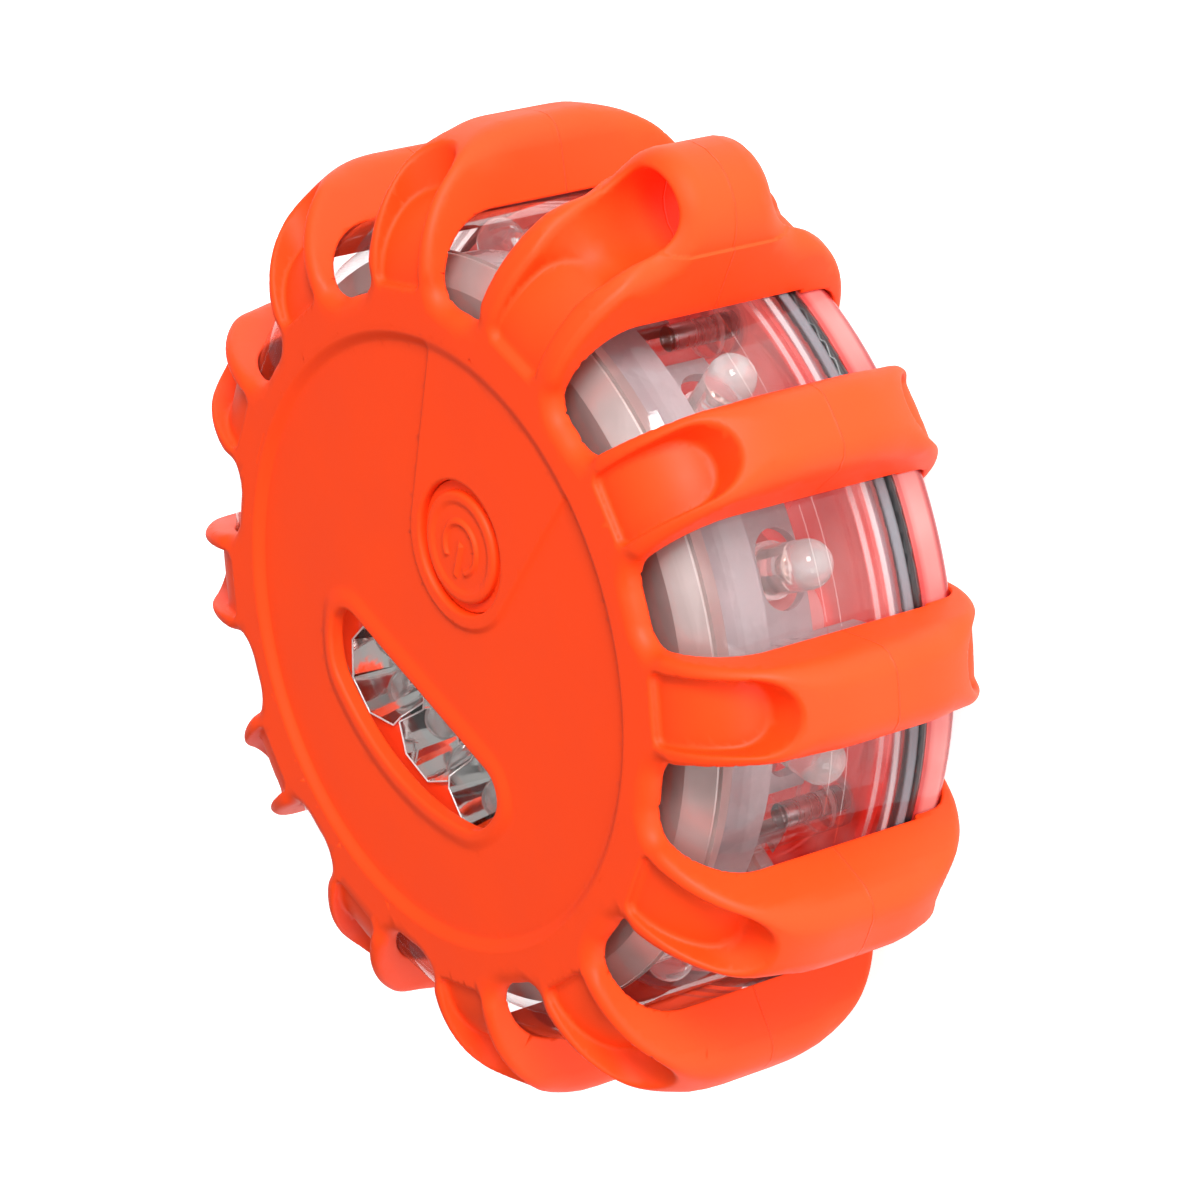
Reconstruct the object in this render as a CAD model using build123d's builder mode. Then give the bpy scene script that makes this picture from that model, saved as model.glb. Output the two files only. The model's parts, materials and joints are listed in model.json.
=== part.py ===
from build123d import *
from math import acos, atan2, cos, hypot, radians, sin
import os

os.makedirs("parts", exist_ok=True)

# LED safety flare: a disc lamp in a ribbed rubber cover, lying on its back.
# Millimetres. Origin: disc axis at the rear face plane. +Z: out of the front face. +Y: hanging eye.

# ---- driving dimensions ---------------------------------------------------------------------------
height = 35.7  # rear face plane to front face plane
mid_z = height / 2
ring_r = 35.4  # front and rear face rings, outside, between the ribs
shoulder_r = 38.1  # where the ribs leave the plane of the faces
rib_count = 12
rib_pitch = 360 / rib_count
rib_crown_r = 51.0  # outside of the ribs
shoulder = 13.0  # height over which a rib rounds from face to crown
shoulder_mid = (47.0, 4.2)  # radius and depth of a point half way round the shoulder
rib_start_r = 32.1  # inner end of the tapered ribs, inside the face rings
rib_base_half = 5.7  # half width of a rib at its inner end
rib_top_half = 4.3  # half width of a rib at its crown
rib_edge_fillet = 2.7
rib_root_fillet = 2.0

eye_hole_r = 4.6
eye_hole_y = 50.2
eye_outer_r = 6.5
eye_outer_y = 50.2
eye_half_height = 5.7
eye_edge_fillet = 1.6
eye_rib_base_half = 6.3
eye_rib_top_half = 6.6

pocket_half = 4.1  # thumb pockets on both shoulders of each rib
pocket_inner_r = 36.3
pocket_tip_depth = 7.8
pocket_round = 3.8  # length of the rounded end of a pocket
pocket_floor_r = 45.0
pocket_floors = ((0.5, 8.5), (0.9, 3.8))  # floor depth and rounding, front and rear pockets

lens_r = 43.2
lens_wall = 2.2
lens_plate = 1.8
lens_top = height - 2.3
lens_arc = 6.7  # rounding of the lens shoulder
lens_bottom = 8.5
fit_gap = 0.05  # cover to lens and housing

recess_r = 30.8  # shallow round recess in the front face
recess_z = height - 0.8
panel_z = height - 0.25  # top of the wedge-shaped button panel
panel_r = 8.4
panel_side = (12.1, 28.5)  # where the straight side of the panel meets the recess edge

button_y = 12.4
button_hole_r = 6.8
button_cap_r = 5.7
button_skirt_r = 6.5
button_flange_r = 7.8
button_travel = 0.8
button_top = recess_z + 0.35

torch_top_y = -6.7
torch_half = 15.3
torch_arc_y = 9.7
torch_arc_r = 27.5
torch_corner = 3.1
torch_cup_pitch = 9.3
torch_cup_y = (-12.9, -13.2, -12.9)
torch_cup_r = 5.1
torch_cup_rim = 0.5
torch_pane = 1.2  # the lens plate is thinned to this over the torch
lip_width = 1.3
lip_height = 0.35

rear_ring_inner_r = 31.5
housing_r = 42.7
housing_rear_z = 1.7
housing_corner = 3.2
housing_top = 6.9  # sealing flange under the o-ring
spigot_top = 10.1
spigot_r = 40.8
spigot_wall = 1.8
door_seat = 6.2
housing_plate = 1.8

led_z = 15.9
led_r = 2.5
led_tip_r = 40.2
led_base_r = 31.1
led_flange_r = 2.9
lead_half = 0.25
lead_pitch_half = 1.27
lead_turn_r = 27.2

board_r = 30.4
board_bottom = 20.1
board_top = 21.7
board_screw_circle_r = 29.3
board_hole_r = 28.2  # opening of the carrier shelf over the board
chip_place = (-14, 8)
resistor_place = (14, 8)
lead_spacing = 1.27

post_r = 2.8  # screw posts that clamp lens and housing
post_circle_r = 34.0
post_pilot_r = 1.4  # pilot hole in the posts
pane_margin = 2.8  # width of the thinned band round the torch opening
seat_margin = 2.7

cell_r = 5.25
cell_len = 44.5
cell_pitch = 10.7
cell_z = 11.9
cell_x = 0.95  # cells sit towards the plate contacts
tray_half_x = 24.7
tray_half_y = 17.2
tray_corner = 4.0
tray_inner_corner = 2.0
tray_wall = 1.0
tray_bottom = 6.3
tray_top = 18.4

door_r = 30.7
door_outer_z = 3.6
door_inner_z = 5.4
door_screw = (12.5, 23.2)
magnet_cup_r = 12.5
magnet_cup_top = 4.6
hook_wire_r = 1.0
hook_pivot_y = 16.5
hook_pivot_z = 1.9
hook_half = 18.5
hook_bend_y = -8.0
hook_bend_fillet = 1.6
hook_pin_x = 13.6
ear_x = (13.9, 16.6)
ear_half = 2.2
ear_hole_r = hook_wire_r + 0.05

# ---- derived places -------------------------------------------------------------------------------
rib_angles = [90 - rib_pitch * k for k in range(rib_count)]
window_angles = [angle - rib_pitch / 2 for angle in rib_angles]
post_angles = [0, 90, 180, 270]
lens_inner_r = lens_r - lens_wall
lens_inner_top = lens_top - lens_plate
arc_45 = cos(radians(45))
housing_edge_r = housing_r - housing_corner
housing_edge_z = housing_rear_z + housing_corner
housing_arc = (
    (housing_edge_r, housing_rear_z),
    (housing_edge_r + housing_corner * arc_45, housing_edge_z - housing_corner * arc_45),
    (housing_r, housing_edge_z),
)


def torch_outline(grow=0.0):
    """D-shaped torch opening: straight top, short sides, round bottom."""
    half = torch_half + grow
    top = torch_top_y + grow
    radius = torch_arc_r + grow
    side_y = torch_arc_y - (radius**2 - half**2) ** 0.5
    with BuildSketch(mode=Mode.PRIVATE) as outline:
        with BuildLine():
            Polyline((half, side_y), (half, top), (-half, top), (-half, side_y))
            ThreePointArc((-half, side_y), (0, torch_arc_y - radius), (half, side_y))
        make_face()
        fillet(outline.vertices(), torch_corner)
    return outline.sketch


def panel_tangent():
    """Point where the straight side of the button panel leaves its round end."""
    dx = panel_side[0]
    dy = panel_side[1] - button_y
    turn = atan2(dy, dx) - acos(panel_r / hypot(dx, dy))
    return panel_r * cos(turn), button_y + panel_r * sin(turn)


# ---- rubber cover ---------------------------------------------------------------------------------
# A pocket cutter is one front pocket on the rib along +X; it is repeated, or mirrored to the back, below.
pocket_cutters = []
for floor_depth, floor_arc in pocket_floors:
    with BuildPart() as pocket_cutter:
        with BuildSketch(Plane.YZ.offset(pocket_inner_r)):
            tip_z = height - pocket_tip_depth
            with BuildLine():
                Polyline(
                    (-pocket_half, tip_z + pocket_round),
                    (-pocket_half, height + 1),
                    (pocket_half, height + 1),
                    (pocket_half, tip_z + pocket_round),
                )
                ThreePointArc(
                    (-pocket_half, tip_z + pocket_round),
                    (0, tip_z),
                    (pocket_half, tip_z + pocket_round),
                )
            make_face()
        extrude(amount=20)
        # the floor runs parallel to the shoulder of what lies below it
        with BuildSketch(Plane.XZ):
            floor_top = height - floor_depth
            floor_side = floor_top - floor_arc
            floor_edge = pocket_floor_r - floor_arc
            with BuildLine():
                Polyline((pocket_floor_r, floor_side), (pocket_floor_r, 0), (0, 0), (0, floor_top),
                         (floor_edge, floor_top))
                ThreePointArc(
                    (floor_edge, floor_top),
                    (floor_edge + floor_arc * arc_45, floor_side + floor_arc * arc_45),
                    (pocket_floor_r, floor_side),
                )
            make_face()
        revolve(axis=Axis.Z, mode=Mode.SUBTRACT)
    pocket_cutters.append(pocket_cutter.part)
front_cutter = pocket_cutters[0]
rear_cutter = mirror(pocket_cutters[1], about=Plane.XY.offset(mid_z))

# Arch of the hanging eye with its neck, standing on the rib along +Y.
with BuildPart() as eye_boss:
    with BuildSketch(Plane.XY.offset(mid_z - eye_half_height)) as arch:
        with Locations((0, eye_outer_y)):
            Circle(eye_outer_r)
        with Locations((0, 46.5)):
            Rectangle(2 * rib_base_half, 6.0)
        necks = arch.vertices().filter_by(lambda v: v.Y > 44)
        fillet(necks, 2.0)
    extrude(amount=2 * eye_half_height)
    ends = eye_boss.faces().filter_by(Axis.Z).edges()
    fillet(ends.filter_by(lambda e: e.center().Y > 44), eye_edge_fillet)

with BuildPart() as rubber_cover:
    with BuildSketch() as plan:
        Circle(ring_r)
        with PolarLocations(0, rib_count - 1, start_angle=rib_angles[1], angular_range=rib_pitch - 360):
            Polygon(
                (rib_start_r, -rib_base_half),
                (rib_crown_r, -rib_top_half),
                (rib_crown_r, rib_top_half),
                (rib_start_r, rib_base_half),
                align=None,
            )
        Polygon(
            (-eye_rib_base_half, rib_start_r),
            (eye_rib_base_half, rib_start_r),
            (eye_rib_top_half, rib_crown_r),
            (-eye_rib_top_half, rib_crown_r),
            align=None,
        )
        corners = plan.vertices()
        fillet(corners.filter_by(lambda v: hypot(v.X, v.Y) > rib_crown_r), rib_edge_fillet)
        roots = plan.vertices().filter_by(lambda v: hypot(v.X, v.Y) < ring_r + 0.5)
        fillet(roots, rib_root_fillet)
    extrude(amount=height)
    # shoulders: round the ribs from the faces to the crown
    with BuildSketch(Plane.XZ):
        mid_r, mid_depth = shoulder_mid
        with BuildLine():
            ThreePointArc((shoulder_r, height), (mid_r, height - mid_depth), (rib_crown_r, height - shoulder))
            Line((rib_crown_r, height - shoulder), (rib_crown_r, shoulder))
            ThreePointArc((rib_crown_r, shoulder), (mid_r, mid_depth), (shoulder_r, 0))
            Polyline((shoulder_r, 0), (0, 0), (0, height), (shoulder_r, height))
        make_face()
    revolve(axis=Axis.Z, mode=Mode.INTERSECT)
    add(eye_boss.part)
    # cavity for the lens and the rear housing, open at the back
    with BuildSketch(Plane.XZ):
        cavity_r = lens_r + fit_gap
        cavity_top = lens_top + fit_gap
        arc_r = lens_arc
        edge_r = cavity_r - arc_r
        side_z = cavity_top - arc_r
        (r0, z0), (r1, z1), (r2, z2) = housing_arc
        with BuildLine():
            Polyline((0, cavity_top), (0, -1), (rear_ring_inner_r, -1), (rear_ring_inner_r, z0), (r0, z0))
            ThreePointArc((r0, z0), (r1, z1), (r2, z2))
            Polyline((r2, z2), (r2, housing_top), (cavity_r, housing_top), (cavity_r, side_z))
            ThreePointArc(
                (cavity_r, side_z), (edge_r + arc_r * arc_45, side_z + arc_r * arc_45), (edge_r, cavity_top)
            )
            Line((edge_r, cavity_top), (0, cavity_top))
        make_face()
    revolve(axis=Axis.Z, mode=Mode.SUBTRACT)
    # thumb pockets on the front and rear shoulders
    with PolarLocations(0, rib_count, start_angle=90):
        add(front_cutter, mode=Mode.SUBTRACT)
        add(rear_cutter, mode=Mode.SUBTRACT)
    # hanging eye
    with BuildSketch(Plane.XY):
        with Locations((0, eye_hole_y)):
            Circle(eye_hole_r)
    extrude(amount=height, mode=Mode.SUBTRACT)
    # recessed front face with the button panel and the torch lip left standing in it
    with BuildSketch(Plane.XY.offset(recess_z)):
        Circle(recess_r)
    extrude(amount=height - recess_z, taper=-45, mode=Mode.SUBTRACT)
    side_x, side_y = panel_side
    tangent_x, tangent_y = panel_tangent()
    with BuildSketch(Plane.XY.offset(recess_z)):
        with Locations((0, button_y)):
            Circle(panel_r)
        Polygon(
            (-tangent_x, tangent_y), (tangent_x, tangent_y), (side_x, side_y), (0, 32.5), (-side_x, side_y),
            align=None,
        )
    extrude(amount=panel_z - recess_z)
    with BuildSketch(Plane.XY.offset(recess_z)):
        add(torch_outline(lip_width))
    extrude(amount=lip_height)
    with BuildSketch(Plane.XY.offset(recess_z - 3)):
        add(torch_outline())
        with Locations((0, button_y)):
            Circle(button_hole_r)
    extrude(amount=5, mode=Mode.SUBTRACT)
rubber_cover.part.label = "rubber_cover"
export_step(rubber_cover.part, "parts/rubber_cover.step")

# ---- front lens: clear drum, front plate and screw posts -------------------------------------------
with BuildPart() as front_lens:
    with BuildSketch(Plane.XZ):
        outer_edge = lens_r - lens_arc
        inner_arc = lens_arc - 1.5
        inner_edge = lens_inner_r - inner_arc
        outer_side = lens_top - lens_arc
        inner_side = lens_inner_top - inner_arc
        with BuildLine():
            Line((0, lens_top), (outer_edge, lens_top))
            ThreePointArc(
                (outer_edge, lens_top),
                (outer_edge + lens_arc * arc_45, outer_side + lens_arc * arc_45),
                (lens_r, outer_side),
            )
            Polyline(
                (lens_r, outer_side), (lens_r, lens_bottom), (lens_inner_r, lens_bottom),
                (lens_inner_r, inner_side),
            )
            ThreePointArc(
                (lens_inner_r, inner_side),
                (inner_edge + inner_arc * arc_45, inner_side + inner_arc * arc_45),
                (inner_edge, lens_inner_top),
            )
            Polyline((inner_edge, lens_inner_top), (0, lens_inner_top), (0, lens_top))
        make_face()
    revolve(axis=Axis.Z)
    post_bottom = door_seat + housing_plate + 0.05
    with BuildSketch(Plane.XY.offset(post_bottom)):
        with PolarLocations(post_circle_r, len(post_angles)):
            Circle(post_r)
    extrude(amount=lens_inner_top - post_bottom)
    with BuildSketch(Plane.XY.offset(post_bottom)):
        with PolarLocations(post_circle_r, len(post_angles)):
            Circle(post_pilot_r)
    extrude(amount=12, mode=Mode.SUBTRACT)
    with BuildSketch(Plane.XY.offset(lens_inner_top - 1)):
        with Locations((0, button_y)):
            Circle(button_hole_r + 0.2)
    extrude(amount=lens_plate + 2, mode=Mode.SUBTRACT)
    with BuildSketch(Plane.XY.offset(lens_inner_top)):
        add(torch_outline(pane_margin))
    extrude(amount=lens_plate - torch_pane, mode=Mode.SUBTRACT)
front_lens.part.label = "front_lens"
export_step(front_lens.part, "parts/front_lens.step")

# ---- o-ring between lens and housing ---------------------------------------------------------------
with BuildPart() as o_ring_seal:
    with BuildSketch(Plane.XZ):
        seal_low = housing_top + 0.05
        seal_high = lens_bottom - 0.05
        with Locations(((spigot_r + 0.05 + lens_r - 0.2) / 2, (seal_low + seal_high) / 2)):
            RectangleRounded(lens_r - 0.2 - spigot_r - 0.05, seal_high - seal_low, 0.6)
    revolve(axis=Axis.Z)
o_ring_seal.part.label = "o_ring_seal"
export_step(o_ring_seal.part, "parts/o_ring_seal.step")

# ---- rear housing: dish, spigot, door seat and screw bosses ----------------------------------------
with BuildPart() as rear_housing:
    with BuildSketch(Plane.XZ):
        (r0, z0), (r1, z1), (r2, z2) = housing_arc
        inner_r = spigot_r - spigot_wall
        plate_top = door_seat + housing_plate
        with BuildLine():
            Polyline((0, door_seat), (door_r + 0.3, door_seat), (door_r + 0.3, z0 + fit_gap),
                     (r0 - fit_gap, z0 + fit_gap))
            ThreePointArc(
                (r0 - fit_gap, z0 + fit_gap), (r1 - fit_gap, z1 + fit_gap), (r2 - fit_gap, z2)
            )
            Polyline(
                (r2 - fit_gap, z2), (r2 - fit_gap, housing_top), (spigot_r, housing_top),
                (spigot_r, spigot_top), (inner_r, spigot_top), (inner_r, plate_top), (0, plate_top),
                (0, door_seat),
            )
        make_face()
    revolve(axis=Axis.Z)
    with BuildSketch(Plane.XY.offset(door_seat)):
        RectangleRounded(2 * tray_half_x + 0.2, 2 * tray_half_y + 0.2, tray_corner)
    extrude(amount=housing_plate, mode=Mode.SUBTRACT)
    with BuildSketch(Plane.XY.offset(door_seat)):
        with GridLocations(2 * door_screw[0], 2 * door_screw[1], 2, 2):
            Circle(2.8)
    extrude(amount=9)
    with BuildSketch(Plane.XY.offset(door_seat)):
        with GridLocations(2 * door_screw[0], 2 * door_screw[1], 2, 2):
            Circle(1.35)
    extrude(amount=7.5, mode=Mode.SUBTRACT)
    with BuildSketch(Plane.XY.offset(z0)):
        with PolarLocations(post_circle_r, len(post_angles)):
            Circle(1.6)
    extrude(amount=plate_top - z0, mode=Mode.SUBTRACT)
    with BuildSketch(Plane.XY.offset(z0)):
        with PolarLocations(post_circle_r, len(post_angles)):
            Circle(2.7)
    extrude(amount=2.3, mode=Mode.SUBTRACT)
rear_housing.part.label = "rear_housing"
export_step(rear_housing.part, "parts/rear_housing.step")

# ---- housing screws ---------------------------------------------------------------------------------
with BuildPart() as housing_screws:
    head_z = housing_arc[0][1] + 0.3
    with BuildSketch(Plane.XY.offset(head_z)):
        with PolarLocations(post_circle_r, len(post_angles)):
            Circle(2.4)
    extrude(amount=1.9)
    with BuildSketch(Plane.XY.offset(head_z + 1.9)):
        with PolarLocations(post_circle_r, len(post_angles)):
            Circle(1.3)
    extrude(amount=12)
    with BuildSketch(Plane.XY.offset(head_z)):
        with PolarLocations(post_circle_r, len(post_angles)):
            Rectangle(2.6, 0.6)
            Rectangle(0.6, 2.6)
    extrude(amount=1.0, mode=Mode.SUBTRACT)
housing_screws.part.label = "housing_screws"
export_step(housing_screws.part, "parts/housing_screws.step")

# ---- LED carrier: shelf, outer wall in front of it, slotted inner wall behind it, feet -----------------
carrier_r = 37.4
carrier_wall = 1.2
carrier_top = 26.8
holder_r = 33.4  # outside of the slotted wall that the LEDs look through
holder_bottom = 13.3
slot_length = 8.2
slot_width = 5.2
with BuildPart() as led_carrier:
    shelf_z = board_top + 0.05
    with BuildSketch(Plane.XY.offset(shelf_z)):
        Circle(carrier_r)
        Circle(board_hole_r, mode=Mode.SUBTRACT)
    extrude(amount=carrier_wall)
    with BuildSketch(Plane.XY.offset(shelf_z)):
        Circle(carrier_r)
        Circle(carrier_r - carrier_wall, mode=Mode.SUBTRACT)
    extrude(amount=carrier_top - shelf_z)
    with BuildSketch(Plane.XY.offset(holder_bottom)):
        Circle(holder_r)
        Circle(holder_r - carrier_wall, mode=Mode.SUBTRACT)
    extrude(amount=shelf_z - holder_bottom)
    foot_r = holder_r + 1.0
    with BuildSketch(Plane.XY.offset(plate_top + 0.05)):
        for angle in rib_angles:
            if angle % 90:
                with Locations((foot_r * cos(radians(angle)), foot_r * sin(radians(angle)))):
                    Rectangle(2.4, 4.0, rotation=angle)
    extrude(amount=shelf_z - plate_top)
    for angle in window_angles:
        outward = (cos(radians(angle)), sin(radians(angle)), 0)
        sideways = (-sin(radians(angle)), cos(radians(angle)), 0)
        slot_plane = Plane(origin=(0, 0, led_z), x_dir=sideways, z_dir=outward)
        with BuildSketch(slot_plane.offset(holder_r - 3)):
            SlotOverall(slot_length, slot_width)
        extrude(amount=4, mode=Mode.SUBTRACT)
    with BuildSketch(Plane.XY.offset(plate_top)):
        with PolarLocations(post_circle_r, len(post_angles)):
            Circle(post_r + 0.2)
    extrude(amount=height, mode=Mode.SUBTRACT)
    with BuildSketch(Plane.XY.offset(shelf_z)):
        with PolarLocations(board_screw_circle_r, 4, start_angle=45):
            Circle(0.7)
    extrude(amount=carrier_wall, mode=Mode.SUBTRACT)
led_carrier.part.label = "led_carrier"
export_step(led_carrier.part, "parts/led_carrier.step")

# ---- metallised skirt: flares out from the carrier wall, then in again under the lens shoulder ---------
with BuildPart() as reflector_skirt:
    with BuildSketch(Plane.XZ):
        skirt_top = lens_inner_top - 0.15
        skirt_under = lens_inner_top - 0.7
        skirt_bend = lens_inner_top - 2.3
        Polygon(
            (36.4, carrier_top + 0.05), (carrier_r, carrier_top + 0.05), (39.6, skirt_bend),
            (36.0, skirt_top), (33.0, skirt_top), (33.0, skirt_under), (35.8, skirt_under),
            (38.6, skirt_bend), align=None,
        )
    revolve(axis=Axis.Z)
    with BuildSketch(Plane.XY.offset(carrier_top)):
        with PolarLocations(post_circle_r, len(post_angles)):
            Circle(post_r + 0.2)
    extrude(amount=6, mode=Mode.SUBTRACT)
reflector_skirt.part.label = "reflector_skirt"
export_step(reflector_skirt.part, "parts/reflector_skirt.step")

# ---- side LEDs, one behind each window, and their leads ------------------------------------------------
for number, angle in enumerate(window_angles, start=1):
    outward = (cos(radians(angle)), sin(radians(angle)), 0)
    led_plane = Plane(origin=(0, 0, led_z), x_dir=outward, z_dir=(sin(radians(angle)), -cos(radians(angle)), 0))
    with BuildPart() as side_led:
        with BuildSketch(led_plane):
            dome_start = led_tip_r - led_r
            with BuildLine():
                Polyline(
                    (led_tip_r, 0), (led_base_r, 0), (led_base_r, led_flange_r), (led_base_r + 1, led_flange_r),
                    (led_base_r + 1, led_r), (dome_start, led_r),
                )
                ThreePointArc(
                    (dome_start, led_r), (dome_start + led_r * arc_45, led_r * arc_45), (led_tip_r, 0)
                )
            make_face()
        revolve(axis=Axis(origin=(0, 0, led_z), direction=outward))
    side_led.part.label = f"side_led_{number:02d}"
    export_step(side_led.part, f"parts/side_led_{number:02d}.step")

with BuildPart() as side_led_leads:
    lead_low = led_z - lead_half
    run = led_base_r - lead_turn_r
    for angle in window_angles:
        for side in (-lead_pitch_half, lead_pitch_half):
            mid_run = lead_turn_r + run / 2
            x = mid_run * cos(radians(angle)) - side * sin(radians(angle))
            y = mid_run * sin(radians(angle)) + side * cos(radians(angle))
            with BuildSketch(Plane.XY.offset(lead_low)):
                with Locations((x, y)):
                    Rectangle(run, 2 * lead_half, rotation=angle)
            extrude(amount=2 * lead_half)
            x = lead_turn_r * cos(radians(angle)) - side * sin(radians(angle))
            y = lead_turn_r * sin(radians(angle)) + side * cos(radians(angle))
            with BuildSketch(Plane.XY.offset(lead_low)):
                with Locations((x, y)):
                    Rectangle(2 * lead_half, 2 * lead_half, rotation=angle)
            extrude(amount=board_bottom - lead_low)
side_led_leads.part.label = "side_led_leads"
export_step(side_led_leads.part, "parts/side_led_leads.step")

# ---- main board and what is on it ----------------------------------------------------------------------
with BuildPart() as main_board:
    with BuildSketch(Plane.XY.offset(board_bottom)):
        Circle(board_r)
        with PolarLocations(board_screw_circle_r, 4, start_angle=45):
            Circle(0.9, mode=Mode.SUBTRACT)
    extrude(amount=board_top - board_bottom)
main_board.part.label = "main_board"
export_step(main_board.part, "parts/main_board.step")

with BuildPart() as board_screws:
    with BuildSketch(Plane.XY.offset(board_bottom - 1.0)):
        with PolarLocations(board_screw_circle_r, 4, start_angle=45):
            Circle(1.0)
    extrude(amount=0.95)
    with BuildSketch(Plane.XY.offset(board_bottom - 0.05)):
        with PolarLocations(board_screw_circle_r, 4, start_angle=45):
            Circle(0.65)
    extrude(amount=2.6)
board_screws.part.label = "board_screws"
export_step(board_screws.part, "parts/board_screws.step")

with BuildPart() as controller_chip:
    with BuildSketch(Plane.XY.offset(board_top + 0.2)):
        with Locations(chip_place):
            Rectangle(5.0, 4.0)
    extrude(amount=1.5)
    with BuildSketch(Plane.XY.offset(board_top)):
        with Locations(chip_place):
            with GridLocations(lead_spacing, 5.4, 4, 2):
                Rectangle(0.4, 1.4)
    extrude(amount=0.4)
controller_chip.part.label = "controller_chip"
export_step(controller_chip.part, "parts/controller_chip.step")

with BuildPart() as board_resistors:
    with BuildSketch(Plane.XY.offset(board_top)):
        with Locations(resistor_place):
            with GridLocations(2.6, 3.2, 3, 3):
                Rectangle(1.2, 2.0)
    extrude(amount=0.6)
board_resistors.part.label = "board_resistors"
export_step(board_resistors.part, "parts/board_resistors.step")

switch_top = board_top + 3.5
stem_r = 1.7
with BuildPart() as tact_switch:
    with BuildSketch(Plane.XY.offset(board_top)):
        with Locations((0, button_y)):
            Rectangle(6.2, 6.2)
    extrude(amount=3.5)
    with BuildSketch(Plane.XY.offset(board_top + 1.0)):
        with Locations((0, button_y)):
            Circle(stem_r + 0.35)
    extrude(amount=2.5, mode=Mode.SUBTRACT)
tact_switch.part.label = "tact_switch"
export_step(tact_switch.part, "parts/tact_switch.step")

# ---- power button: rubber cap, plunger and switch stem move together ---------------------------------
stem_bottom = board_top + 1.0 + button_travel + 0.3
stem_top = switch_top + 1.4
flange_top = lens_inner_top - 0.35
with BuildPart() as power_button:
    with BuildSketch(Plane.XY.offset(flange_top - 0.9)):
        with Locations((0, button_y)):
            Circle(button_flange_r)
    extrude(amount=0.9)
    with BuildSketch(Plane.XY.offset(flange_top)):
        with Locations((0, button_y)):
            Circle(button_skirt_r)
    extrude(amount=recess_z - 0.75 - flange_top)
    with BuildSketch(Plane.XY.offset(recess_z - 0.75)):
        with Locations((0, button_y)):
            Circle(button_cap_r)
    extrude(amount=button_top - recess_z + 0.75)
    top_rim = power_button.edges().filter_by(GeomType.CIRCLE).sort_by(Axis.Z)[-1]
    fillet(top_rim, 0.3)
    # on/off mark: open ring and a bar
    with BuildSketch(Plane.XY.offset(button_top - 0.2)):
        with Locations((0, button_y)):
            Circle(3.1)
            Circle(2.5, mode=Mode.SUBTRACT)
        with Locations((0, button_y - 3.0)):
            Rectangle(2.2, 2.4, mode=Mode.SUBTRACT)
        with Locations((0, button_y - 1.5)):
            Rectangle(0.6, 3.8)
    extrude(amount=0.5, mode=Mode.SUBTRACT)
power_button.part.label = "power_button"
export_step(power_button.part, "parts/power_button.step")

with BuildPart() as button_plunger:
    with BuildSketch(Plane.XY.offset(stem_top + 0.02)):
        with Locations((0, button_y)):
            Circle(2.2)
    extrude(amount=flange_top - 0.92 - stem_top)
button_plunger.part.label = "button_plunger"
export_step(button_plunger.part, "parts/button_plunger.step")

with BuildPart() as switch_stem:
    with BuildSketch(Plane.XY.offset(stem_bottom)):
        with Locations((0, button_y)):
            Circle(stem_r)
    extrude(amount=stem_top - stem_bottom)
switch_stem.part.label = "switch_stem"
export_step(switch_stem.part, "parts/switch_stem.step")

# ---- torch: three reflector cups in a red seat, three white LEDs ---------------------------------------
cup_floor_z = board_top + 2.4
cup_hole_r = 2.9
cup_waist = (4.5, board_top + 6.0)
cup_x = [torch_cup_pitch * k for k in (-1, 0, 1)]
cup_places = list(zip(cup_x, torch_cup_y))
reflector_top = lens_top - torch_pane - 0.05
reflector_bottom = board_top + 0.6
with BuildPart() as torch_reflector:
    with BuildSketch(Plane.XY.offset(reflector_bottom)):
        with Locations(*cup_places):
            Circle(torch_cup_r + torch_cup_rim)
    extrude(amount=reflector_top - reflector_bottom)
    for x, y in cup_places:
        with BuildSketch(Plane(origin=(x, y, 0), x_dir=(1, 0, 0), z_dir=(0, -1, 0))):
            with BuildLine():
                Polyline((cup_hole_r, cup_floor_z), (cup_hole_r, board_top), (0, board_top),
                         (0, reflector_top + 0.4), (torch_cup_r, reflector_top + 0.4),
                         (torch_cup_r, reflector_top))
                ThreePointArc((torch_cup_r, reflector_top), cup_waist, (cup_hole_r, cup_floor_z))
            make_face()
        revolve(axis=Axis(origin=(x, y, 0), direction=(0, 0, 1)), mode=Mode.SUBTRACT)
torch_reflector.part.label = "torch_reflector"
export_step(torch_reflector.part, "parts/torch_reflector.step")

with BuildPart() as torch_seat:
    with BuildSketch(Plane.XY.offset(reflector_top - 1.6)):
        add(torch_outline(seat_margin))
        with Locations(*cup_places):
            Circle(torch_cup_r + torch_cup_rim + 0.05, mode=Mode.SUBTRACT)
    extrude(amount=1.3)
torch_seat.part.label = "torch_seat"
export_step(torch_seat.part, "parts/torch_seat.step")

for number, (x, y) in enumerate(cup_places, start=1):
    with BuildPart() as torch_led:
        with BuildSketch(Plane(origin=(x, y, 0), x_dir=(1, 0, 0), z_dir=(0, -1, 0))):
            dome_z = board_top + 4.6
            with BuildLine():
                Polyline((0, dome_z + led_r), (0, board_top), (2.8, board_top), (2.8, board_top + 0.5),
                         (led_r, board_top + 0.5), (led_r, dome_z))
                ThreePointArc(
                    (led_r, dome_z), (led_r * arc_45, dome_z + led_r * arc_45), (0, dome_z + led_r)
                )
            make_face()
        revolve(axis=Axis(origin=(x, y, 0), direction=(0, 0, 1)))
    torch_led.part.label = f"torch_led_{number}"
    export_step(torch_led.part, f"parts/torch_led_{number}.step")

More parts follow.
